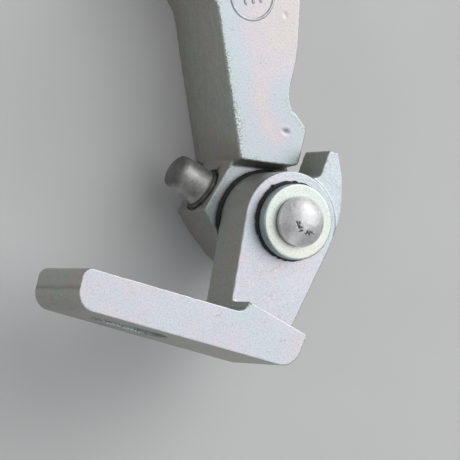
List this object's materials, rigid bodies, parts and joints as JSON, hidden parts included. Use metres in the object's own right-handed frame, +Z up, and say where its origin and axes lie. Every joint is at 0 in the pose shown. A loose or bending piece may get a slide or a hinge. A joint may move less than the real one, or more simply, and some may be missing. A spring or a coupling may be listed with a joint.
{
  "type": "trailer coupler lock",
  "caption": "Zinc-plated steel coupler lock: a slotted foot bracket hinged on a heavy lock arm, with a domed pivot pin, a washer and a side plunger.",
  "frame": {"origin": "centre of the footprint at the floor that the lock lies on, where the lever's back face rests", "axes": "+X along the foot, from its free end to the web; +Y square to the foot, towards the pivot and the lever; +Z up along the pivot axis"},
  "size_m": [0.1094, 0.1988, 0.071],
  "materials": {
    "plated_steel": "satin zinc plating with a faint iridescent passivation",
    "bare_steel": "turned, uncoated",
    "wear_disc": "matt",
    "bronze": "oiled",
    "spring_steel": "drawn wire"
  },
  "bodies": {
    "lever": {"lever": "plated_steel", "head_bush": "bare_steel", "pivot_pin": "bare_steel", "front_washer": "plated_steel", "hub_disc": "wear_disc", "rear_disc": "wear_disc", "rear_washer": "plated_steel", "plunger_sleeve": "bare_steel", "plunger_spring": "spring_steel"},
    "bracket": {"bracket": "plated_steel", "eye_bush": "bronze", "front_disc": "wear_disc"},
    "plunger": {"plunger": "bare_steel"}
  },
  "joints": [
    {"name": "pivot", "type": "hinge", "parent": "lever", "child": "bracket", "pos_m": [0.0335, -0.04218, 0.045], "axis": [0, 0, -1], "range_deg": [-5, 78]},
    {"name": "plunger_slide", "type": "slide", "parent": "lever", "child": "plunger", "axis": [0.9537, -0.3007, 0], "range_m": [0, 0.005], "stiffness_N_per_m": 2000, "deforming": ["plunger_spring"]}
  ]
}
